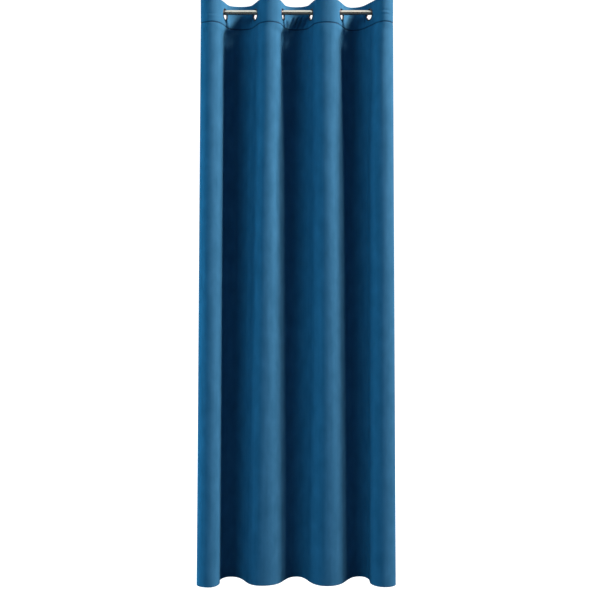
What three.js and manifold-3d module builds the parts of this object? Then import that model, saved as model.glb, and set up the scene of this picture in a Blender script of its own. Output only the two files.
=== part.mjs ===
// A velvet eyelet curtain hanging on a plain metal rod. Millimetres, +Z up.
// +X runs along the rod, the room is on the -Y side, and the origin is the middle of the rod's axis.
import * as THREE from "three";
import { mergeVertices } from "three/addons/utils/BufferGeometryUtils.js";
import Module from "manifold-3d";

// The curtain laid flat
const CLOTH_WIDTH = 1400;
const CLOTH_DROP = 2450;
const CLOTH_THICKNESS = 2;
const HEADING_DROP = 100;
const HEADING_THICKNESS = 1.5;
const SIDE_MARGIN = 50; // from a side edge to the nearest eyelet's centre
const EYELET_DROP = 50; // from the top edge to an eyelet's centre

// The metal
const ROD_DIAMETER = 20;
const ROD_LENGTH = 794;
const EYELET_BORE = 40;
const EYELET_DIAMETER = 51;
const EYELET_WALL = 1;
const FLANGE_THICKNESS = 1.2;
const FLANGE_BEVEL = 0.6;

// Pieces that touch on the real curtain stand this far apart
const GAP = 0.3;
const HANG_GAP = 0.8; // above the rod, where a tilted eyelet comes closest

// Where the cloth passes through the line of the rod, one row for each eyelet from left to right: its place
// along the rod and how steeply the cloth crosses there in degrees, in the heading, in the neck where the
// folds close below it and at the hem, and half the length of cloth that is still straight there below.
const CROSSINGS = [
  { headX: -388, headTurn: 106, neckX: -389, neckTurn: 106, hemX: -413, hemTurn: 106, straight: 25 },
  { headX: -300, headTurn: 72, neckX: -308, neckTurn: 97, hemX: -329, hemTurn: 102, straight: 2 },
  { headX: -171, headTurn: 66, neckX: -173, neckTurn: 68, hemX: -215, hemTurn: 62, straight: 2 },
  { headX: -58, headTurn: 75, neckX: -67, neckTurn: 93, hemX: -64, hemTurn: 60, straight: 2 },
  { headX: 63, headTurn: 71, neckX: 62, neckTurn: 72, hemX: 58, hemTurn: 61, straight: 2 },
  { headX: 188, headTurn: 67, neckX: 183, neckTurn: 85, hemX: 205, hemTurn: 60, straight: 2 },
  { headX: 307, headTurn: 62, neckX: 307, neckTurn: 66, hemX: 314, hemTurn: 94, straight: 2 },
  { headX: 391, headTurn: 106, neckX: 392, neckTurn: 106, hemX: 411, hemTurn: 106, straight: 25 },
];

// The folds between those crossings: the side of the rod that each stands on, +1 towards the room,
// and how far its crown leans to the right of the middle, in the heading and at the hem.
const FOLDS = [
  { name: "crest 1", side: 1, headLean: 0, hemLean: 5 },
  { name: "valley 1", side: -1, headLean: 0, hemLean: -11 },
  { name: "crest 2", side: 1, headLean: 0, hemLean: -10 },
  { name: "valley 2", side: -1, headLean: -3, hemLean: 3 },
  { name: "crest 3", side: 1, headLean: 0, hemLean: -2 },
  { name: "valley 3", side: -1, headLean: -8, hemLean: 15 },
  { name: "crest 4", side: 1, headLean: 3, hemLean: 5 },
];

// How the folds change below the heading
const EYELET_FLAT = 26.5; // cloth held straight on each side of an eyelet's centre
const NECK_DROP = 135; // drop at which the folds have closed
const LOOSE_FROM = 250; // drops between which the crossings take their lower slope
const LOOSE_TO = 700;
const CURVE_HANDLE = 0.385; // handle of a curve as a share of its chord, close to a round arc

// Fineness of the solids
const FOLD_STEPS = 21;
const MARGIN_STEPS = 2;
const NECK_STEPS = [112, 124];
const FALL_STEPS = [LOOSE_FROM, 400, 550, LOOSE_TO, 1100, 1550, 2000];
const PANEL_DROPS = [0, HEADING_DROP, ...NECK_STEPS, NECK_DROP, ...FALL_STEPS, CLOTH_DROP];
const ROUND_STEPS = 28;
const ROD_STEPS = 32;
const HOLE_REACH = 12; // half length of the cutter that opens an eyelet's hole
const SOLVER_STEPS = 40;

// Sizes that follow
const EYELET_PITCH = (CLOTH_WIDTH - 2 * SIDE_MARGIN) / FOLDS.length;
const STACK = CLOTH_THICKNESS + GAP + HEADING_THICKNESS;
const EYELET_Z = ROD_DIAMETER / 2 + HANG_GAP - EYELET_BORE / 2;
const TOP_Z = EYELET_Z + EYELET_DROP;
const HOLE_RADIUS = EYELET_BORE / 2 + EYELET_WALL + GAP;
const ROOM_FACE = -STACK / 2;
const WALL_FACE = STACK / 2;

const wasm = await Module();
wasm.setup();

const lerp = THREE.MathUtils.lerp;

// Share of the way from the neck's folds to the hem's at a given drop below the top edge
function fallShare(drop) {
  return Math.max(drop - NECK_DROP, 0) / (CLOTH_DROP - NECK_DROP);
}

// A crossing at a given drop: its point in plan, the cloth's direction there from left to right, and
// its straight run. In plan, x runs along the rod and y stands out towards the room.
function crossingAt(index, drop) {
  const row = CROSSINGS[index];
  const closed = THREE.MathUtils.smoothstep(drop, HEADING_DROP, NECK_DROP);
  const loose = THREE.MathUtils.smoothstep(drop, LOOSE_FROM, LOOSE_TO);
  const place = lerp(lerp(row.headX, row.neckX, closed), row.hemX, fallShare(drop));
  const slope = lerp(lerp(row.headTurn, row.neckTurn, closed), row.hemTurn, loose);
  const turn = THREE.MathUtils.degToRad(slope);
  const rising = index < FOLDS.length ? FOLDS[index].side : -FOLDS[index - 1].side;
  return {
    at: new THREE.Vector2(place, 0),
    along: new THREE.Vector2(Math.cos(turn), rising * Math.sin(turn)),
    straight: lerp(EYELET_FLAT, row.straight, closed),
  };
}

// A curve between two points with given directions
function easeCurve(from, fromAlong, to, toAlong) {
  const handle = CURVE_HANDLE * from.distanceTo(to);
  const first = from.clone().addScaledVector(fromAlong, handle);
  const second = to.clone().addScaledVector(toAlong, -handle);
  return new THREE.CubicBezierCurve(from, first, second, to);
}

// One fold with its crown at a given depth: straight past each eyelet, and two curves to the crown
function foldPath(start, end, lean, crown) {
  const level = new THREE.Vector2(1, 0);
  const from = start.at.clone().addScaledVector(start.along, start.straight);
  const to = end.at.clone().addScaledVector(end.along, -end.straight);
  const top = new THREE.Vector2((from.x + to.x) / 2 + lean, crown);
  const path = new THREE.CurvePath();
  path.add(new THREE.LineCurve(start.at, from));
  path.add(easeCurve(from, start.along, top, level));
  path.add(easeCurve(top, level, to, end.along));
  path.add(new THREE.LineCurve(to, end.at));
  return path;
}

// The same fold as deep as the cloth between its two eyelets makes it
function hangingFold(index, drop) {
  const fold = FOLDS[index];
  const start = crossingAt(index, drop);
  const end = crossingAt(index + 1, drop);
  const lean = lerp(fold.headLean, fold.hemLean, fallShare(drop));
  let shallow = 0;
  let deep = EYELET_PITCH / 2;
  for (let step = 0; step < SOLVER_STEPS; step += 1) {
    const depth = (shallow + deep) / 2;
    const length = foldPath(start, end, lean, fold.side * depth).getLength();
    if (length < EYELET_PITCH) shallow = depth;
    else deep = depth;
  }
  return foldPath(start, end, lean, fold.side * deep);
}

// The middle of the heading's two layers in plan at one drop, from the left edge to the right edge
function sectionAt(drop) {
  const first = crossingAt(0, drop);
  const last = crossingAt(FOLDS.length, drop);
  const points = [];
  for (let step = 0; step < MARGIN_STEPS; step += 1) {
    const back = -SIDE_MARGIN * (1 - step / MARGIN_STEPS);
    points.push(first.at.clone().addScaledVector(first.along, back));
  }
  for (let index = 0; index < FOLDS.length; index += 1) {
    points.push(...hangingFold(index, drop).getSpacedPoints(FOLD_STEPS).slice(0, FOLD_STEPS));
  }
  for (let step = 0; step <= MARGIN_STEPS; step += 1) {
    const on = (SIDE_MARGIN * step) / MARGIN_STEPS;
    points.push(last.at.clone().addScaledVector(last.along, on));
  }
  return points;
}

// A section moved towards the wall by a given depth, square to the cloth; less than 0 is the room side
function layerOf(points, depth) {
  return points.map((point, index) => {
    const before = points[Math.max(index - 1, 0)];
    const after = points[Math.min(index + 1, points.length - 1)];
    const along = after.clone().sub(before).normalize();
    return new THREE.Vector2(point.x + along.y * depth, point.y - along.x * depth);
  });
}

// A closed sheet through sections at the given drops, between two depths
function sheetGeometry(drops, near, far) {
  const positions = [];
  const triangles = [];
  const sections = drops.map(sectionAt);
  const columns = sections[0].length;
  for (const depth of [near, far]) {
    sections.forEach((section, row) => {
      for (const point of layerOf(section, depth)) {
        positions.push(point.x, -point.y, TOP_Z - drops[row]);
      }
    });
  }
  const lastRow = drops.length - 1;
  const lastColumn = columns - 1;
  const face = (row, column) => row * columns + column;
  const back = (row, column) => drops.length * columns + face(row, column);
  const quad = (a, b, c, d) => triangles.push(a, b, c, a, c, d);
  for (let row = 0; row < lastRow; row += 1) {
    for (let column = 0; column < lastColumn; column += 1) {
      const next = column + 1;
      quad(face(row, column), face(row + 1, column), face(row + 1, next), face(row, next));
      quad(back(row, column), back(row, next), back(row + 1, next), back(row + 1, column));
    }
    quad(face(row, 0), back(row, 0), back(row + 1, 0), face(row + 1, 0));
    quad(face(row, lastColumn), face(row + 1, lastColumn), back(row + 1, lastColumn), back(row, lastColumn));
  }
  for (let column = 0; column < lastColumn; column += 1) {
    const next = column + 1;
    quad(face(0, column), face(0, next), back(0, next), back(0, column));
    quad(face(lastRow, next), face(lastRow, column), back(lastRow, column), back(lastRow, next));
  }
  const geometry = new THREE.BufferGeometry();
  geometry.setAttribute("position", new THREE.Float32BufferAttribute(positions, 3));
  geometry.setIndex(triangles);
  return geometry;
}

// The place of an eyelet: its axis, along +Y when unturned, stands square to the cloth
function eyeletPlace(index) {
  const { at, along } = crossingAt(index, EYELET_DROP);
  return {
    position: new THREE.Vector3(at.x, -at.y, EYELET_Z),
    rotation: new THREE.Euler(0, 0, -Math.atan2(along.y, along.x)),
  };
}

function toSolid(geometry) {
  const bare = geometry.clone();
  bare.deleteAttribute("normal");
  bare.deleteAttribute("uv");
  const merged = mergeVertices(bare);
  const vertProperties = Float32Array.from(merged.attributes.position.array);
  const triVerts = Uint32Array.from(merged.index.array);
  return new wasm.Manifold(new wasm.Mesh({ numProp: 3, vertProperties, triVerts }));
}

function toGeometry(solid) {
  const { vertProperties, triVerts, numProp } = solid.getMesh();
  const geometry = new THREE.BufferGeometry();
  geometry.setAttribute("position", new THREE.Float32BufferAttribute(vertProperties, numProp));
  geometry.setIndex(Array.from(triVerts));
  geometry.computeVertexNormals();
  return geometry;
}

// Opens a hole for each eyelet in a sheet
function punched(sheet) {
  let solid = toSolid(sheet);
  CROSSINGS.forEach((row, index) => {
    const cutter = new THREE.CylinderGeometry(HOLE_RADIUS, HOLE_RADIUS, 2 * HOLE_REACH, ROUND_STEPS);
    const { position, rotation } = eyeletPlace(index);
    const turned = new THREE.Matrix4().makeRotationFromEuler(rotation).setPosition(position);
    solid = solid.subtract(toSolid(cutter.applyMatrix4(turned)));
  });
  return toGeometry(solid);
}

// A two-flanged ring that grips the edge of its hole, its profile closed on itself
function eyeletGeometry() {
  const bore = EYELET_BORE / 2;
  const rim = EYELET_DIAMETER / 2;
  const neck = bore + EYELET_WALL;
  const grip = STACK / 2 + GAP;
  const outside = grip + FLANGE_THICKNESS;
  const half = [
    [neck, grip],
    [rim, grip],
    [rim, outside - FLANGE_BEVEL],
    [(bore + rim) / 2, outside],
    [bore, outside - FLANGE_BEVEL],
  ];
  const upper = half.map(([radius, height]) => new THREE.Vector2(radius, height));
  const lower = half.map(([radius, height]) => new THREE.Vector2(radius, -height)).reverse();
  const profile = [...lower, ...upper, lower[0].clone()];
  return new THREE.LatheGeometry(profile, ROUND_STEPS);
}

function velvet() {
  return new THREE.MeshStandardMaterial({ color: 0x25648f, roughness: 0.95, metalness: 0 });
}

function darkMetal() {
  return new THREE.MeshStandardMaterial({ color: 0x3c4043, roughness: 0.35, metalness: 1 });
}

function satinSteel() {
  return new THREE.MeshStandardMaterial({ color: 0x9c9f97, roughness: 0.3, metalness: 1 });
}

function named(name, geometry, material) {
  const mesh = new THREE.Mesh(geometry, material);
  mesh.name = name;
  return mesh;
}

const curtain = new THREE.Group();

// The velvet, one length from the top edge to the hem
const panelSheet = sheetGeometry(PANEL_DROPS, ROOM_FACE, ROOM_FACE + CLOTH_THICKNESS);
curtain.add(named("panel", punched(panelSheet), velvet()));

// The stiffened strip sewn behind its top
const headingSheet = sheetGeometry([0, HEADING_DROP], WALL_FACE - HEADING_THICKNESS, WALL_FACE);
curtain.add(named("heading", punched(headingSheet), velvet()));

// The eyelets, hanging by their bores on top of the rod
CROSSINGS.forEach((row, index) => {
  const eyelet = named(`eyelet_${index + 1}`, eyeletGeometry(), darkMetal());
  const { position, rotation } = eyeletPlace(index);
  eyelet.position.copy(position);
  eyelet.rotation.copy(rotation);
  curtain.add(eyelet);
});

// The rod, its axis along X
const rodGeometry = new THREE.CylinderGeometry(ROD_DIAMETER / 2, ROD_DIAMETER / 2, ROD_LENGTH, ROD_STEPS);
const rod = named("rod", rodGeometry, satinSteel());
rod.rotation.z = Math.PI / 2;
curtain.add(rod);

export default curtain;
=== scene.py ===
import bpy
import numpy as np
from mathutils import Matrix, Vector


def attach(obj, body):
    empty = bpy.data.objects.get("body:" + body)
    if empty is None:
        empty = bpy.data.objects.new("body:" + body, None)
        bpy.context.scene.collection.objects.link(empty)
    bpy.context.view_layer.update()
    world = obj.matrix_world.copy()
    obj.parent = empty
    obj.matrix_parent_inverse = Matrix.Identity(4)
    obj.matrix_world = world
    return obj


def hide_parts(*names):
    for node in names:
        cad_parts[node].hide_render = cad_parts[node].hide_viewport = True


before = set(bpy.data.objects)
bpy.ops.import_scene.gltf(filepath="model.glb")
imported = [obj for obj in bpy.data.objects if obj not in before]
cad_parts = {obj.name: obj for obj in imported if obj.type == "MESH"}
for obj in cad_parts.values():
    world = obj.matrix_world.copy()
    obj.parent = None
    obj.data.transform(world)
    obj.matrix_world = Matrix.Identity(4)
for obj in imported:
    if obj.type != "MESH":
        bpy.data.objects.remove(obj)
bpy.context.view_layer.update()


# The rod
# A plain round steel tube, nickel plated and brushed along its length to a satin finish. Its ends are cut
# square with a small rounded edge, and it runs through all eight eyelets.
MM = 0.001
ROD_RADIUS = 10.0
ROD_HALF_LENGTH = 397.0
ROD_EDGE = 1.0
ROD_EDGE_STEPS = 5
ROD_STEPS = 72
NICKEL_DARK = (0.46, 0.47, 0.42, 1.0)
NICKEL_LIGHT = (0.52, 0.53, 0.47, 1.0)
NOISE_LOW = 0.25
NOISE_HIGH = 0.75
SCRATCH_STRETCH = (12.0, 900.0, 900.0)


def turned(radius, along, steps):
    """A profile turned once round X: every profile point, given by its distance from the axis and its
    place along it, becomes a ring of points at equal angles. Gives a grid of profile points by steps."""
    angle = np.linspace(0.0, 2.0 * np.pi, steps, endpoint=False)
    ring = np.stack([np.zeros(steps), np.cos(angle), np.sin(angle)], axis=-1)
    axis = np.array([1.0, 0.0, 0.0])
    return radius[:, None, None] * ring + along[:, None, None] * axis


def grid_faces(ids, close_rows=False, close_columns=False):
    """Four-cornered faces between neighbours in a grid of vertex numbers, which may close on itself."""
    if close_rows:
        ids = np.concatenate([ids, ids[:1]], axis=0)
    if close_columns:
        ids = np.concatenate([ids, ids[:, :1]], axis=1)
    corners = [ids[:-1, :-1], ids[1:, :-1], ids[1:, 1:], ids[:-1, 1:]]
    return np.stack(corners, axis=-1).reshape(-1, 4)


def new_piece(name, points, faces, materials, caps=()):
    """A smooth-shaded mesh object from points in millimetres, four-cornered faces and flat end caps."""
    mesh = bpy.data.meshes.new(name)
    corners = faces.tolist() + [list(cap) for cap in caps]
    mesh.from_pydata((points.reshape(-1, 3) * MM).tolist(), [], corners)
    mesh.shade_smooth()
    for material in materials:
        mesh.materials.append(material)
    piece = bpy.data.objects.new(name, mesh)
    bpy.context.scene.collection.objects.link(piece)
    return piece


def new_material(name):
    """A node material that holds a Principled shader, and that shader."""
    material = bpy.data.materials.new(name)
    material.use_nodes = True
    return material, material.node_tree.nodes["Principled BSDF"]


def noise(tree, vector, scale, detail, roughness=0.5):
    """The value of a noise texture on the given vector socket."""
    node = tree.nodes.new("ShaderNodeTexNoise")
    node.inputs["Scale"].default_value = scale
    node.inputs["Detail"].default_value = detail
    node.inputs["Roughness"].default_value = roughness
    tree.links.new(vector, node.inputs["Vector"])
    return node.outputs["Fac"]


def stretched(tree, vector, scale):
    """The given vector socket with each axis scaled by its own number."""
    node = tree.nodes.new("ShaderNodeMapping")
    node.inputs["Scale"].default_value = scale
    tree.links.new(vector, node.inputs["Vector"])
    return node.outputs["Vector"]


def between(tree, share, low, high):
    """A value that goes straight from low to high as the share socket goes over the range where noise
    mostly lies."""
    node = tree.nodes.new("ShaderNodeMapRange")
    node.inputs["From Min"].default_value = NOISE_LOW
    node.inputs["From Max"].default_value = NOISE_HIGH
    node.inputs["To Min"].default_value = low
    node.inputs["To Max"].default_value = high
    tree.links.new(share, node.inputs["Value"])
    return node.outputs["Result"]


def mixed(tree, share, low, high):
    """A colour that goes from low to high with the share socket."""
    node = tree.nodes.new("ShaderNodeMix")
    node.data_type = "RGBA"
    node.inputs["A"].default_value = low
    node.inputs["B"].default_value = high
    tree.links.new(share, node.inputs["Factor"])
    return node.outputs["Result"]


def raised(tree, height, shader, distance, strength):
    """Bumps the shader's normal by the given height socket."""
    node = tree.nodes.new("ShaderNodeBump")
    node.inputs["Distance"].default_value = distance
    node.inputs["Strength"].default_value = strength
    tree.links.new(height, node.inputs["Height"])
    tree.links.new(node.outputs["Normal"], shader.inputs["Normal"])


# Brushing shared by the two metals: long scratches along the vector's X, with soft smudges over them.
brushing = bpy.data.node_groups.new("brushed_metal", "ShaderNodeTree")
brushing.interface.new_socket("Vector", in_out="INPUT", socket_type="NodeSocketVector")
brushing.interface.new_socket("Scratches", in_out="OUTPUT", socket_type="NodeSocketFloat")
brushing.interface.new_socket("Smudges", in_out="OUTPUT", socket_type="NodeSocketFloat")
brushing_in = brushing.nodes.new("NodeGroupInput")
brushing_out = brushing.nodes.new("NodeGroupOutput")
scratch_place = stretched(brushing, brushing_in.outputs["Vector"], SCRATCH_STRETCH)
scratch = noise(brushing, scratch_place, scale=2.0, detail=3.0)
smudge = noise(brushing, brushing_in.outputs["Vector"], scale=35.0, detail=2.0)
brushing.links.new(scratch, brushing_out.inputs["Scratches"])
brushing.links.new(smudge, brushing_out.inputs["Smudges"])


def metal(name, dark, light, smooth, rough):
    """A brushed metal: its colour goes from dark to light with its scratches, which also raise it, and its
    roughness from smooth to rough with its smudges."""
    material, shader = new_material(name)
    tree = material.node_tree
    place = tree.nodes.new("ShaderNodeTexCoord")
    brushed = tree.nodes.new("ShaderNodeGroup")
    brushed.node_tree = brushing
    tree.links.new(place.outputs["Object"], brushed.inputs["Vector"])
    shader.inputs["Metallic"].default_value = 1.0
    tree.links.new(mixed(tree, brushed.outputs["Scratches"], dark, light), shader.inputs["Base Color"])
    tree.links.new(between(tree, brushed.outputs["Smudges"], smooth, rough), shader.inputs["Roughness"])
    raised(tree, brushed.outputs["Scratches"], shader, distance=0.00001, strength=0.1)
    return material


end_round = np.linspace(0.0, np.pi / 2.0, ROD_EDGE_STEPS)
edge_radius = ROD_RADIUS - ROD_EDGE + ROD_EDGE * np.sin(end_round)
edge_place = ROD_HALF_LENGTH - ROD_EDGE + ROD_EDGE * np.cos(end_round)
rod_points = turned(
    radius=np.concatenate([edge_radius, edge_radius[::-1]]),
    along=np.concatenate([-edge_place, edge_place[::-1]]),
    steps=ROD_STEPS,
)
rod_ids = np.arange(rod_points.shape[0] * ROD_STEPS).reshape(-1, ROD_STEPS)
rod = new_piece(
    "curtain_rod",
    rod_points,
    grid_faces(rod_ids, close_columns=True)[:, ::-1],
    [metal("satin_nickel", NICKEL_DARK, NICKEL_LIGHT, smooth=0.22, rough=0.34)],
    caps=(rod_ids[0][::-1], rod_ids[-1]),
)
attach(rod, "root")
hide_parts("rod")


# The curtain
# One length of velvet. Its top is turned over a stiffening strip and sewn down, its sides and bottom are
# turned back as hems, and it hangs from its eyelets in upright folds.
CLOTH_WIDTH = 1400.0
CLOTH_DROP = 2450.0
CLOTH_THICKNESS = 2.0
HEADING_DROP = 100.0
HEADING_STACK = 3.8
SIDE_MARGIN = 50.0
EYELET_COUNT = 8
EYELET_DROP = 50.0
EYELET_PITCH = (CLOTH_WIDTH - 2.0 * SIDE_MARGIN) / (EYELET_COUNT - 1)
HOLE_RADIUS = 21.3
TOP_Z = 40.8

# Where the cloth passes the line of the rod, one row for each eyelet: place along the rod and slope in
# degrees, in the heading, in the neck where the folds close below it and at the hem, and the straight
# run that is left below the heading.
CROSSINGS = np.array([
    # head place, head slope, neck place, neck slope, hem place, hem slope, straight
    (-388, 106, -389, 106, -413, 106, 25),
    (-300, 72, -308, 97, -329, 102, 2),
    (-171, 66, -173, 68, -215, 62, 2),
    (-58, 75, -67, 93, -64, 60, 2),
    (63, 71, 62, 72, 58, 61, 2),
    (188, 67, 183, 85, 205, 60, 2),
    (307, 62, 307, 66, 314, 94, 2),
    (391, 106, 392, 106, 411, 106, 25),
], dtype=float)

# The folds between them: side of the rod, +1 towards the room, and lean of the crown to the right, in the
# heading and at the hem.
FOLDS = np.array([
    # side, head lean, hem lean
    (1, 0, 5),
    (-1, 0, -11),
    (1, 0, -10),
    (-1, -3, 3),
    (1, 0, -2),
    (-1, -8, 15),
    (1, 3, 5),
], dtype=float)

# The straight run beside an eyelet, the drop where the neck is closed, the drops between which the slopes
# change to those at the hem, and how the curves are worked out.
EYELET_FLAT = 26.5
NECK_DROP = 135.0
LOOSE_FROM = 250.0
LOOSE_TO = 700.0
CURVE_HANDLE = 0.385
CURVE_STEPS = 40
SOLVER_STEPS = 40


def part_way(start, end, share):
    """The value a given share of the way from start to end."""
    return start + (end - start) * share


def eased(value, start, end):
    """0 up to start and 1 from end on, with a smooth rise between them."""
    share = np.clip((value - start) / (end - start), 0.0, 1.0)
    return share**2 * (3.0 - 2.0 * share)


def bend(start, start_way, end, end_way):
    """Points of cubic curves from start to end that leave and arrive along the given directions, with both
    handles a fixed share of the chord."""
    handle = CURVE_HANDLE * np.linalg.norm(end - start, axis=-1, keepdims=True)
    t = np.linspace(0.0, 1.0, CURVE_STEPS)[:, None]
    weights = [(1 - t) ** 3, 3 * t * (1 - t) ** 2, 3 * t**2 * (1 - t), t**3]
    corners = [start, start + handle * start_way, end - handle * end_way, end]
    return sum(weight * corner[..., None, :] for weight, corner in zip(weights, corners))


def hanging_lines(drops):
    """Plan lines of the hanging cloth, one for each drop below the top edge, from the left edge to the
    right. Each fold runs straight past an eyelet, bends to its crown and back, and its crown stands out
    just so far that the cloth between two eyelets keeps its length. Gives the points, with x along the rod
    and y out towards the room, and the length of cloth up to each point."""
    drops = drops[:, None]
    closed = eased(drops, HEADING_DROP, NECK_DROP)
    loose = eased(drops, LOOSE_FROM, LOOSE_TO)
    fallen = np.clip((drops - NECK_DROP) / (CLOTH_DROP - NECK_DROP), 0.0, 1.0)
    head_place, head_slope, neck_place, neck_slope, hem_place, hem_slope, low_straight = CROSSINGS.T
    side, head_lean, hem_lean = FOLDS.T
    place = part_way(part_way(head_place, neck_place, closed), hem_place, fallen)
    slope = np.radians(part_way(part_way(head_slope, neck_slope, closed), hem_slope, loose))
    straight = part_way(EYELET_FLAT, low_straight, closed)[..., None]
    lean = part_way(head_lean, hem_lean, fallen)
    rising = np.append(side, -side[-1])
    at = np.stack([place, np.zeros_like(place)], axis=-1)
    way = np.stack([np.cos(slope), rising * np.sin(slope)], axis=-1)
    start = at[:, :-1] + straight[:, :-1] * way[:, :-1]
    end = at[:, 1:] - straight[:, 1:] * way[:, 1:]
    level = np.array([1.0, 0.0])

    def folds(depth):
        """Each fold's line between two eyelets: a bend out to its level crown at the depth, and back."""
        crown = np.stack([(start[..., 0] + end[..., 0]) / 2.0 + lean, side * depth], axis=-1)
        up = bend(start, way[:, :-1], crown, level)
        down = bend(crown, level, end, way[:, 1:])
        return np.concatenate([at[:, :-1, None], up, down[..., 1:, :], at[:, 1:, None]], axis=2)

    shallow = np.zeros((len(drops), len(side)))
    deep = np.full_like(shallow, EYELET_PITCH / 2.0)
    for _ in range(SOLVER_STEPS):
        depth = (shallow + deep) / 2.0
        length = np.linalg.norm(np.diff(folds(depth), axis=2), axis=-1).sum(axis=2)
        shallow = np.where(length < EYELET_PITCH, depth, shallow)
        deep = np.where(length < EYELET_PITCH, deep, depth)

    hanging = folds(deep)[:, :, :-1].reshape(len(drops), -1, 2)
    left = at[:, :1] - SIDE_MARGIN * way[:, :1]
    right = at[:, -1:] + SIDE_MARGIN * way[:, -1:]
    points = np.concatenate([left, hanging, at[:, -1:], right], axis=1)
    run = np.linalg.norm(np.diff(points, axis=1), axis=-1).cumsum(axis=1)
    run = np.concatenate([np.zeros((len(drops), 1)), run], axis=1)
    return points, run * CLOTH_WIDTH / run[:, -1:]


def hung(lines, across, drop, depth):
    """Points of the cloth in space, from their place across the flat cloth, their drop and their depth
    behind the middle of the heading, on the plan line of their row: the place on the line, moved square to
    the line towards the wall by the depth, at a height of the top edge less the drop."""
    points, run = lines
    step = np.gradient(points, axis=1)
    step /= np.linalg.norm(step, axis=-1, keepdims=True)
    channels = np.concatenate([points, step], axis=-1)
    found = np.stack([
        np.stack([np.interp(across[row], run[row], channels[row, :, c]) for c in range(4)], axis=-1)
        for row in range(len(run))
    ])
    x, out, way_x, way_out = np.moveaxis(found, -1, 0)
    return np.stack([x + way_out * depth, way_x * depth - out, TOP_Z - drop], axis=-1)


# Rows and columns of the flat cloth, closer where it is sewn, turned or pierced.
SIDE_TURN = 25.0
HEM_TURN = 70.0
SEWN_DROP = 97.0
HOLE_CELLS = 12
FOLD_CELLS = (28, 40, 28, 56, 28, 40, 28)
hole_steps = np.linspace(-HOLE_RADIUS, HOLE_RADIUS, HOLE_CELLS + 1)
side_columns = np.array([0.0, 0.5, 1.4, 3.0, 9.0, 15.0, 20.0, 22.0, 24.0, 25.6])
eyelet_places = SIDE_MARGIN + EYELET_PITCH * np.arange(EYELET_COUNT)
fold_columns = [
    place + np.linspace(HOLE_RADIUS, EYELET_PITCH - HOLE_RADIUS, cells + 1)[1:-1]
    for place, cells in zip(eyelet_places, FOLD_CELLS)
]
hole_columns = [place + hole_steps for place in eyelet_places]
columns = np.concatenate([side_columns, CLOTH_WIDTH - side_columns, *hole_columns, *fold_columns])
columns = np.sort(columns)
rows = np.concatenate([
    [0.0, 0.5, 1.3, 2.6, 5.0, 9.0, 13.0, 17.0, 21.0, 25.0],
    EYELET_DROP + hole_steps,
    [75.0, 79.0, 83.0, 87.0, 90.0, 92.0, 93.5, 94.8, 95.9, 97.0, 98.1, 99.2, 100.2, 101.4, 103.0],
    [106.0, 110.0, 115.0, 120.0, 125.0, 130.0, 135.0, 142.0],
    np.arange(150.0, 240.0, 15.0),
    np.arange(240.0, 440.0, 20.0),
    np.linspace(440.0, 2345.0, 48),
    [2368.0, 2378.0, 2379.6, 2380.6, 2383.0, 2394.0, 2416.0, 2436.0, 2446.0, 2448.7, 2449.5, 2450.0],
])
across, drop = np.meshgrid(columns, rows)

# Round each eyelet the grid's squares become circles: a ring of cells at a given distance from the middle
# takes that distance as its radius and equal angles, and this eases out at the edge of the heading.
HOLE_EASE = 44.0
SMALLEST_RING = 1e-6
nearest = eyelet_places[np.abs(across[..., None] - eyelet_places).argmin(axis=-1)]
aside = across - nearest
lower = drop - EYELET_DROP
ring = np.maximum(np.abs(aside), np.abs(lower))
wide = np.abs(aside) >= np.abs(lower)
to_angle = np.pi / 4.0 / np.maximum(ring, SMALLEST_RING)
round_aside = np.where(wide, np.sign(aside) * np.cos(to_angle * lower), np.sin(to_angle * aside))
round_lower = np.where(wide, np.sin(to_angle * lower), np.sign(lower) * np.cos(to_angle * aside))
roundness = np.clip((HOLE_EASE - ring) / (HOLE_EASE - HOLE_RADIUS), 0.0, 1.0)
across = across + roundness * (ring * round_aside - aside)
drop = drop + roundness * (ring * round_lower - lower)

# The two faces of the cloth, as depths behind the middle of the heading: thick where it is turned over,
# drawn in along the sewn line and rounded at the edges. The end of the heading's strip and the edges of
# the turns are short steps at the back.
STRIP_END = (98.1, 99.2, 100.2)
STRIP_STACK = (HEADING_STACK, HEADING_STACK - 0.4, CLOTH_THICKNESS)
SIDE_TURN_STEP = (SIDE_TURN - 1.0, SIDE_TURN + 0.6)
HEM_TURN_STEP = (CLOTH_DROP - HEM_TURN - 0.4, CLOTH_DROP - HEM_TURN + 0.6)
TURN_THICKNESS = 1.0
SEW_PULL = 1.1
SEW_WIDTH = 2.4
RIM_ROUND = 1.5
RIM_THINNEST = 0.35
edge = np.minimum(across, CLOTH_WIDTH - across)
room_face = np.full_like(across, -HEADING_STACK / 2.0)
wall_face = np.interp(drop, STRIP_END, STRIP_STACK) - HEADING_STACK / 2.0
in_side_turn = np.interp(edge, SIDE_TURN_STEP, (1.0, 0.0))
in_hem_turn = np.interp(drop, HEM_TURN_STEP, (0.0, 1.0))
wall_face += TURN_THICKNESS * np.maximum(in_side_turn, in_hem_turn) * (drop > HEADING_DROP)
pull = SEW_PULL * np.exp(-(((drop - SEWN_DROP) / SEW_WIDTH) ** 2))
room_face += pull
wall_face -= pull
to_rim = np.minimum(np.minimum(edge, drop), CLOTH_DROP - drop)
rim_share = 1.0 - np.clip(to_rim / RIM_ROUND, 0.0, 1.0)
rim_round = np.maximum(np.sqrt(1.0 - rim_share**2), RIM_THINNEST)
middle = (room_face + wall_face) / 2.0
room_face = part_way(middle, room_face, rim_round)
wall_face = part_way(middle, wall_face, rim_round)

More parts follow.
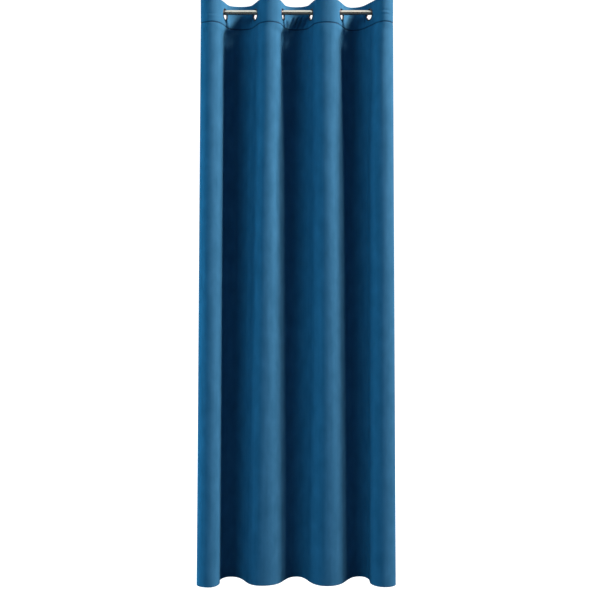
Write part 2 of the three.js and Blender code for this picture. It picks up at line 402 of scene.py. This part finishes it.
# Creases that the cloth shows, placed on the flat cloth: each is a soft ridge, or a trough where
# its height is less than 0, with a middle, a half length, a half width and a tilt from upright in degrees.
CREASES = np.array([
    # across, drop, half length, half width, tilt, height
    (372, 66, 30, 4, -10, -2.2),
    (385, 70, 26, 7, -10, 1.2),
    (651, 78, 14, 3.5, -8, -6.2),
    (662, 72, 22, 5, -24, 4.3),
    (674, 70, 24, 3.5, -26, -6.2),
    (685, 68, 26, 5, -26, 4.3),
    (696, 66, 27, 3.5, -28, -6.9),
    (707, 64, 27, 5, -28, 4.5),
    (718, 64, 27, 3.5, -28, -7.2),
    (729, 64, 27, 5, -26, 5),
    (740, 64, 26, 3.5, -24, -6.2),
    (752, 68, 22, 5, -20, 3.5),
    (1095, 66, 28, 6, -6, -1.6),
    (1112, 66, 28, 7, -8, 2.0),
    (1129, 68, 26, 6, -8, -1.8),
    (1144, 72, 22, 6, -6, 1.6),
    (140, 64, 16, 3, 90, -0.9),
    (148, 72, 18, 4, 90, 0.7),
    (1258, 52, 24, 3, 90, -1.1),
    (1262, 60, 22, 4, 90, 0.9),
    (1256, 68, 22, 3, 90, -0.9),
    (180, 168, 20, 10, 82, -1.4),
    (1248, 178, 24, 10, 96, -1.6),
    (1240, 150, 70, 12, 2, -1.6),
    (1222, 260, 160, 14, 1, 1.2),
    (162, 420, 60, 26, 10, -1.6),
    (337, 510, 70, 24, -6, -1.8),
    (396, 820, 260, 16, 1, 1.2),
    (430, 1300, 420, 14, -1, -1.0),
    (452, 1670, 300, 16, 1, 1.2),
    (492, 360, 180, 18, -2, -1.2),
    (548, 900, 380, 18, 1, 0.9),
    (597, 680, 60, 24, 12, -1.8),
    (579, 800, 50, 22, -8, -1.5),
    (580, 1300, 80, 24, 6, -1.8),
    (687, 890, 60, 22, 0, -1.6),
    (716, 1560, 240, 14, 1, 1.2),
    (760, 1150, 420, 16, 1, -1.0),
    (822, 830, 260, 16, 0, 1.2),
    (846, 1670, 340, 18, -1, -1.2),
    (888, 650, 70, 24, 6, -1.8),
    (1050, 580, 80, 20, -8, -1.6),
    (1062, 1910, 110, 20, 4, -1.8),
    (1097, 1660, 80, 22, -6, -1.8),
    (1160, 1150, 460, 14, 0, 1.2),
    (1214, 1250, 380, 16, 1, -1.2),
    (1268, 900, 420, 18, -1, 1.2),
    (142, 1710, 90, 26, 8, -2.0),
    (128, 1050, 360, 18, 1, 1.0),
], dtype=float)


def crease_height(across, drop):
    """Height of the cloth towards the room over its plain folds: the sum, for all creases, of a bell across
    the crease's width that fades out along its length."""
    total = np.zeros_like(across)
    for place, level, half_length, half_width, tilt, height in CREASES:
        turn = np.radians(tilt)
        along = (drop - level) * np.cos(turn) + (across - place) * np.sin(turn)
        beside = (across - place) * np.cos(turn) - (drop - level) * np.sin(turn)
        total += height * np.exp(-((beside / half_width) ** 2) - (along / half_length) ** 4)
    return total


creased = crease_height(across, drop)
cloth_lines = hanging_lines(rows)
cloth_points = np.stack([
    hung(cloth_lines, across, drop, room_face - creased),
    hung(cloth_lines, across, drop, wall_face - creased),
])

# Both faces without the eyelets' holes, and a strip along every edge that joins them.
ids = np.arange(across.size).reshape(across.shape)
cell_across = (columns[1:] + columns[:-1]) / 2.0
cell_drop = (rows[1:] + rows[:-1]) / 2.0
in_hole = (np.abs(cell_across[:, None] - eyelet_places).min(axis=1) < HOLE_RADIUS)[None, :]
in_hole = in_hole & (np.abs(cell_drop - EYELET_DROP) < HOLE_RADIUS)[:, None]
room_faces = grid_faces(ids)[~in_hole.ravel()]
wall_faces = room_faces[:, ::-1] + ids.size
sides = np.stack([room_faces, np.roll(room_faces, -1, axis=1)], axis=-1).reshape(-1, 2)
forward = sides[:, 0] * ids.size + sides[:, 1]
backward = sides[:, 1] * ids.size + sides[:, 0]
rim = sides[~np.isin(forward, backward)]
rim_faces = np.stack([rim[:, 1], rim[:, 0], rim[:, 0] + ids.size, rim[:, 1] + ids.size], axis=-1)

# Velvet: a short dense pile, brushed into paler and deeper patches with faint upright streaks, with
# painted shade laid in a dark band along the sewn line, where the cloth is drawn in.
PILE_DEEP = (0.013, 0.091, 0.188, 1.0)
PILE_LIGHT = (0.026, 0.138, 0.269, 1.0)
# The deep blue laid in along the sewn line is painted shade: it stands in for the shadow in the drawn-in
# groove.
SEAM_PAINTED_SHADE = (0.002, 0.024, 0.060, 1.0)
PILE_SHEEN = (0.10, 0.55, 1.0, 1.0)
PILE_STRETCH = (1.0, 0.7, 1.0)
PATCH_STRETCH = (24.0, 11.0, 24.0)
STREAK_STRETCH = (90.0, 2.5, 90.0)
STREAK_SHARE = 0.3
# The band of painted seam shade: full strength within the core distance of the sewn line, gone by the edge
# distance.
SEAM_CORE = 1.2
SEAM_EDGE = 4.2
SEAM_SHADE_STRENGTH = 0.85

# Nap shared by the two sides of the cloth, on its flat place: patches, pile, and the painted shade along
# the seam.
napping = bpy.data.node_groups.new("cloth_nap", "ShaderNodeTree")
napping.interface.new_socket("Vector", in_out="INPUT", socket_type="NodeSocketVector")
napping.interface.new_socket("Patches", in_out="OUTPUT", socket_type="NodeSocketFloat")
napping.interface.new_socket("Pile", in_out="OUTPUT", socket_type="NodeSocketFloat")
napping.interface.new_socket("Seam", in_out="OUTPUT", socket_type="NodeSocketFloat")
napping_in = napping.nodes.new("NodeGroupInput")
napping_out = napping.nodes.new("NodeGroupOutput")
patch_place = stretched(napping, napping_in.outputs["Vector"], PATCH_STRETCH)
patch = noise(napping, patch_place, scale=1.0, detail=4.0, roughness=0.55)
streak_place = stretched(napping, napping_in.outputs["Vector"], STREAK_STRETCH)
streak = noise(napping, streak_place, scale=1.0, detail=3.0)
brushed_nap = napping.nodes.new("ShaderNodeMix")
brushed_nap.inputs["Factor"].default_value = STREAK_SHARE
napping.links.new(patch, brushed_nap.inputs["A"])
napping.links.new(streak, brushed_nap.inputs["B"])
napping.links.new(brushed_nap.outputs["Result"], napping_out.inputs["Patches"])
pile_place = stretched(napping, napping_in.outputs["Vector"], PILE_STRETCH)
pile = noise(napping, pile_place, scale=900.0, detail=2.0)
napping.links.new(pile, napping_out.inputs["Pile"])
flat_axes = napping.nodes.new("ShaderNodeSeparateXYZ")
napping.links.new(napping_in.outputs["Vector"], flat_axes.inputs["Vector"])
from_seam = napping.nodes.new("ShaderNodeMath")
from_seam.operation = "SUBTRACT"
from_seam.inputs[1].default_value = SEWN_DROP * MM
napping.links.new(flat_axes.outputs["Y"], from_seam.inputs[0])
seam_distance = napping.nodes.new("ShaderNodeMath")
seam_distance.operation = "ABSOLUTE"
napping.links.new(from_seam.outputs["Value"], seam_distance.inputs[0])
# The seam output is the strength of the painted shade along the sewn line.
seam = napping.nodes.new("ShaderNodeMapRange")
seam.interpolation_type = "SMOOTHSTEP"
seam.inputs["From Min"].default_value = SEAM_CORE * MM
seam.inputs["From Max"].default_value = SEAM_EDGE * MM
seam.inputs["To Min"].default_value = SEAM_SHADE_STRENGTH
seam.inputs["To Max"].default_value = 0.0
napping.links.new(seam_distance.outputs["Value"], seam.inputs["Value"])
napping.links.new(seam.outputs["Result"], napping_out.inputs["Seam"])


def cloth_material(name, deep, light, bump):
    """A napped cloth: its colour goes from deep to light with the nap's patches and to a painted shade
    along the sewn line, and the pile raises it."""
    material, shader = new_material(name)
    tree = material.node_tree
    flat = tree.nodes.new("ShaderNodeAttribute")
    flat.attribute_name = "flat_place"
    nap = tree.nodes.new("ShaderNodeGroup")
    nap.node_tree = napping
    tree.links.new(flat.outputs["Vector"], nap.inputs["Vector"])
    shade = between(tree, nap.outputs["Patches"], 0.0, 1.0)
    # Painted shade along the sewn line is mixed over the nap's colour here.
    seam_shaded = mixed(tree, nap.outputs["Seam"], deep, SEAM_PAINTED_SHADE)
    tree.links.new(mixed(tree, shade, deep, light), seam_shaded.node.inputs["A"])
    tree.links.new(seam_shaded, shader.inputs["Base Color"])
    raised(tree, nap.outputs["Pile"], shader, distance=0.0004, strength=bump)
    return material, shader


velvet, velvet_shader = cloth_material("velvet_pile", PILE_DEEP, PILE_LIGHT, bump=0.25)
velvet_shader.inputs["Roughness"].default_value = 0.9
velvet_shader.inputs["Specular IOR Level"].default_value = 0.05
velvet_shader.inputs["Sheen Weight"].default_value = 0.1
velvet_shader.inputs["Sheen Roughness"].default_value = 0.4
velvet_shader.inputs["Sheen Tint"].default_value = PILE_SHEEN

# The velvet's bare back: a flat close weave of the same blue.
REVERSE_DEEP = (0.010, 0.060, 0.120, 1.0)
REVERSE_LIGHT = (0.016, 0.084, 0.165, 1.0)
reverse, reverse_shader = cloth_material("velvet_reverse", REVERSE_DEEP, REVERSE_LIGHT, bump=0.15)
reverse_shader.inputs["Roughness"].default_value = 0.8
reverse_shader.inputs["Specular IOR Level"].default_value = 0.2
reverse_shader.inputs["Sheen Weight"].default_value = 0.15
reverse_shader.inputs["Sheen Roughness"].default_value = 0.5
reverse_shader.inputs["Sheen Tint"].default_value = PILE_SHEEN

# The bare back shows at the wall side between the turns, and every point keeps its place on the flat cloth.
cloth_faces = np.concatenate([room_faces, wall_faces, rim_faces])
curtain = new_piece("velvet_curtain", cloth_points, cloth_faces, [velvet, reverse])
bare = (np.abs(cell_across - CLOTH_WIDTH / 2.0) < CLOTH_WIDTH / 2.0 - SIDE_TURN)[None, :]
bare = bare & ((cell_drop > HEADING_DROP) & (cell_drop < CLOTH_DROP - HEM_TURN))[:, None]
finish_of_face = np.concatenate([
    np.zeros(len(room_faces), int),
    bare.ravel()[~in_hole.ravel()].astype(int),
    np.zeros(len(rim_faces), int),
])
curtain.data.polygons.foreach_set("material_index", finish_of_face)
flat_depth = np.stack([room_face, wall_face])
flat_place = np.stack([np.stack([across, across]), np.stack([drop, drop]), flat_depth], axis=-1) * MM
attribute = curtain.data.attributes.new("flat_place", "FLOAT_VECTOR", "POINT")
attribute.data.foreach_set("vector", flat_place.ravel())
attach(curtain, "root")
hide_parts("panel", "heading")


# The sewing
# A row of lockstitch in dark blue thread along the lower edge of the heading, sewn through all its layers,
# so that it shows on both sides of the cloth.
STITCH_PITCH = 3.6
STITCH_LENGTH = 2.7
STITCH_RADIUS = 0.32
STITCH_MARGIN = 5.0
STITCH_BLUNT = 1.05
STITCH_SINK = 0.15
STITCH_REST = 0.6
STITCH_RINGS = 5
STITCH_SIDES = 6
THREAD_DEEP = (0.002, 0.020, 0.050, 1.0)
THREAD_LIGHT = (0.005, 0.040, 0.090, 1.0)

# Each stitch is a bead of thread: rings along its length that swell to its middle, as a blunt ellipse
# does, and rise out of the cloth as they swell.
stitch_middle = np.arange(STITCH_MARGIN, CLOTH_WIDTH - STITCH_MARGIN, STITCH_PITCH)
bow = np.linspace(-1.0, 1.0, STITCH_RINGS)
around = np.linspace(0.0, 2.0 * np.pi, STITCH_SIDES, endpoint=False)
swell = np.sqrt(STITCH_BLUNT - bow**2)
stitch_across = stitch_middle[:, None, None] + (STITCH_LENGTH / 2.0 * bow)[None, :, None]
stitch_across = np.broadcast_to(stitch_across, (len(stitch_middle), STITCH_RINGS, STITCH_SIDES))
thread_out = STITCH_RADIUS * swell[:, None] * np.cos(around)
thread_up = STITCH_RADIUS * swell[:, None] * np.sin(around)
stitch_drop = np.broadcast_to(SEWN_DROP - thread_up, stitch_across.shape)
stitch_crease = crease_height(stitch_across, stitch_drop)
sewn_line = hanging_lines(np.array([SEWN_DROP]))
sewn_face = SEW_PULL - HEADING_STACK / 2.0
sewn_room = sewn_face + STITCH_SINK - STITCH_RADIUS * (swell - STITCH_REST)[:, None]
stitch_points = np.stack([
    hung(
        sewn_line,
        stitch_across.reshape(1, -1),
        stitch_drop.reshape(1, -1),
        (face * (sewn_room - thread_out) - stitch_crease).reshape(1, -1),
    ).reshape(stitch_across.shape + (3,))
    for face in (1.0, -1.0)
]).reshape(-1, STITCH_RINGS, STITCH_SIDES, 3)
stitch_ids = np.arange(STITCH_RINGS * STITCH_SIDES).reshape(STITCH_RINGS, STITCH_SIDES)
first_ids = STITCH_RINGS * STITCH_SIDES * np.arange(len(stitch_points))
stitch_faces = grid_faces(stitch_ids, close_columns=True)[None] + first_ids[:, None, None]
half = len(stitch_points) // 2
stitch_faces[half:] = stitch_faces[half:, :, ::-1]
stitch_ends = np.stack([stitch_ids[0], stitch_ids[-1][::-1]])[None] + first_ids[:, None, None]
stitch_ends[half:] = stitch_ends[half:, :, ::-1]

# Thread: a fine twist of paler and deeper fibres.
thread, thread_shader = new_material("sewing_thread")
thread_tree = thread.node_tree
thread_place = thread_tree.nodes.new("ShaderNodeTexCoord")
fibres = noise(thread_tree, thread_place.outputs["Object"], scale=1200.0, detail=2.0)
fibre_shade = between(thread_tree, fibres, 0.0, 1.0)
thread_colour = mixed(thread_tree, fibre_shade, THREAD_DEEP, THREAD_LIGHT)
thread_tree.links.new(thread_colour, thread_shader.inputs["Base Color"])
raised(thread_tree, fibres, thread_shader, distance=0.0001, strength=0.3)
thread_shader.inputs["Roughness"].default_value = 0.6

stitching = new_piece(
    "heading_stitches",
    stitch_points,
    stitch_faces.reshape(-1, 4),
    [thread],
    caps=stitch_ends.reshape(-1, STITCH_SIDES),
)
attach(stitching, "root")


# The eyelets
# Two-part rings of dark gunmetal, pressed together through the cloth so that their lips grip both faces
# of the heading. They hang by their bores on top of the rod.
EYELET_BORE = 20.0
EYELET_RIM = 25.5
EYELET_NECK = 21.0
EYELET_Z = TOP_Z - EYELET_DROP
LIP_CLEARANCE = 0.05
LIP_GRIP = HEADING_STACK / 2.0 + LIP_CLEARANCE
LIP_EDGE = 0.25
LIP_UNDERCUT = 0.15
LIP_HEIGHT = 1.3
DOME_STEPS = 11
EYELET_STEPS = 64
GUNMETAL_DARK = (0.024, 0.028, 0.034, 1.0)
GUNMETAL_LIGHT = (0.054, 0.060, 0.070, 1.0)

# Half of the ring's profile runs from the neck out under the lip and back over its dome to the bore, and
# the other half mirrors it behind the cloth.
dome = np.linspace(0.0, np.pi, DOME_STEPS)
dome_radius = (EYELET_BORE + EYELET_RIM) / 2.0 + (EYELET_RIM - EYELET_BORE) / 2.0 * np.cos(dome)
dome_height = LIP_GRIP + LIP_EDGE + (LIP_HEIGHT - LIP_EDGE) * np.sin(dome)
front_radius = np.concatenate([[EYELET_NECK, EYELET_RIM - LIP_UNDERCUT], dome_radius])
front_height = np.concatenate([[LIP_GRIP, LIP_GRIP], dome_height])
ring_radius = np.concatenate([front_radius, front_radius[::-1]])
ring_height = np.concatenate([front_height, -front_height[::-1]])
ring_points = turned(ring_radius, ring_height, EYELET_STEPS)
ring_ids = np.arange(ring_points.shape[0] * EYELET_STEPS).reshape(-1, EYELET_STEPS)
ring_faces = grid_faces(ring_ids, close_rows=True, close_columns=True)[:, ::-1]
gunmetal = metal("gunmetal", GUNMETAL_DARK, GUNMETAL_LIGHT, smooth=0.26, rough=0.40)

# Each ring's axis stands square to the cloth where it passes the rod.
head_place = CROSSINGS[:, 0]
head_slope = np.radians(CROSSINGS[:, 1])
rising = np.append(FOLDS[:, 0], -FOLDS[-1, 0])
for number, (place, slope, sign) in enumerate(zip(head_place, head_slope, rising), start=1):
    axis = np.array([sign * np.sin(slope), np.cos(slope), 0.0])
    beside = np.array([-axis[1], axis[0], 0.0])
    upward = np.array([0.0, 0.0, 1.0])
    eyelet_points = ring_points @ np.stack([axis, beside, upward]) + np.array([place, 0.0, EYELET_Z])
    eyelet = new_piece(f"eyelet_ring_{number}", eyelet_points, ring_faces, [gunmetal])
    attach(eyelet, "root")
    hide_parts(f"eyelet_{number}")


# The studio
# A plain floor just below the hem and a surround, both white to the camera and dim to all else. Warm lamps
# light the folds from the upper right, cool ones from the left and a plain one from behind, and a large one
# overhead shows in reflections alone. The camera stands in front, a little above the curtain's middle.
FLOOR_GAP = 15.8
FLOOR_Z = TOP_Z - CLOTH_DROP - FLOOR_GAP
FLOOR_HALF = 30000.0
FLOOR_TONE = (0.08, 0.13, 0.18, 1.0)
WHITE = (1.0, 1.0, 1.0, 1.0)
DUSK = (0.0, 0.5, 1.0, 1.0)
WHITE_STRENGTH = 1.2
SURROUND_STRENGTH = 0.11


def seen_white(tree, strength_socket, dim_strength):
    """Drives the strength of a glow: white to the camera's own rays, and dim_strength to all others. Gives
    a share that is 1 for the rays that light matt surfaces."""
    path = tree.nodes.new("ShaderNodeLightPath")
    strength = tree.nodes.new("ShaderNodeMapRange")
    strength.inputs["To Min"].default_value = dim_strength
    strength.inputs["To Max"].default_value = WHITE_STRENGTH
    tree.links.new(path.outputs["Is Camera Ray"], strength.inputs["Value"])
    tree.links.new(strength.outputs["Result"], strength_socket)
    return path.outputs["Is Diffuse Ray"]


world = bpy.data.worlds.new("studio")
world.use_nodes = True
backdrop = world.node_tree.nodes["Background"]
to_matt = seen_white(world.node_tree, backdrop.inputs["Strength"], SURROUND_STRENGTH)
world.node_tree.links.new(mixed(world.node_tree, to_matt, WHITE, DUSK), backdrop.inputs["Color"])
bpy.context.scene.world = world

floor_corners = FLOOR_HALF * np.array([(-1.0, -1.0), (1.0, -1.0), (1.0, 1.0), (-1.0, 1.0)])
floor_points = np.column_stack([floor_corners, np.full(4, FLOOR_Z)])
pale, pale_shader = new_material("pale_floor")
pale_shader.inputs["Base Color"].default_value = FLOOR_TONE
pale_shader.inputs["Roughness"].default_value = 0.9
pale_shader.inputs["Emission Color"].default_value = WHITE
seen_white(pale.node_tree, pale_shader.inputs["Emission Strength"], dim_strength=0.0)
floor = new_piece("floor", floor_points, np.array([[0, 1, 2, 3]]), [pale])
floor.visible_glossy = False


def soft_lamp(name, place, aim, size, power, colour):
    """A rectangular lamp at a place, turned to face the aim, with its width and height as its size. Places
    and sizes are in metres, and the power in watts."""
    data = bpy.data.lights.new(name, "AREA")
    data.shape = "RECTANGLE"
    data.size, data.size_y = size
    data.energy = power
    data.color = colour
    lamp = bpy.data.objects.new(name, data)
    lamp.location = place
    lamp.rotation_euler = (lamp.location - Vector(aim)).to_track_quat("Z", "Y").to_euler()
    bpy.context.scene.collection.objects.link(lamp)
    return lamp


WARM = (1.0, 0.72, 0.65)
AMBER = (1.0, 0.58, 0.46)
PALE = (0.45, 0.86, 0.92)
COOL = (0.36, 0.86, 1.0)
NEUTRAL = (1.0, 1.0, 1.0)
soft_lamp("key_lamp", (8.83, -1.72, 7.5), (0.0, 0.0, -0.8), (2.0, 2.0), 3900.0, WARM)
soft_lamp("upper_lamp", (2.74, -1.22, 2.6), (0.0, 0.0, -0.4), (0.6, 0.6), 315.0, AMBER)
soft_lamp("left_lamp", (-4.00, -0.07, -1.8), (0.0, 0.0, -1.4), (2.0, 2.0), 200.0, PALE)
soft_lamp("fill_lamp", (-4.83, -4.35, 2.2), (0.0, 0.0, 0.6), (3.0, 3.0), 215.0, COOL)
back = soft_lamp("back_lamp", (1.5, 4.0, 3.5), (0.0, 0.0, -1.2), (2.0, 2.0), 320.0, NEUTRAL)
back.visible_glossy = False
overhead = soft_lamp("overhead_lamp", (0.0, -2.2, 2.5), (0.0, -2.2, 0.0), (8.0, 7.5), 250.0, NEUTRAL)
overhead.visible_diffuse = False

CAMERA_LENS = 51.36
CAMERA_SENSOR = 36.0
CAMERA_PLACE = (-0.0063, -3.565, -1.095)
CAMERA_TILT = 88.53
camera_data = bpy.data.cameras.new("camera")
camera_data.lens = CAMERA_LENS
camera_data.sensor_width = CAMERA_SENSOR
camera = bpy.data.objects.new("camera", camera_data)
camera.location = CAMERA_PLACE
camera.rotation_euler = (np.radians(CAMERA_TILT), 0.0, 0.0)
bpy.context.scene.collection.objects.link(camera)
bpy.context.scene.camera = camera
bpy.context.scene.view_settings.view_transform = "Standard"
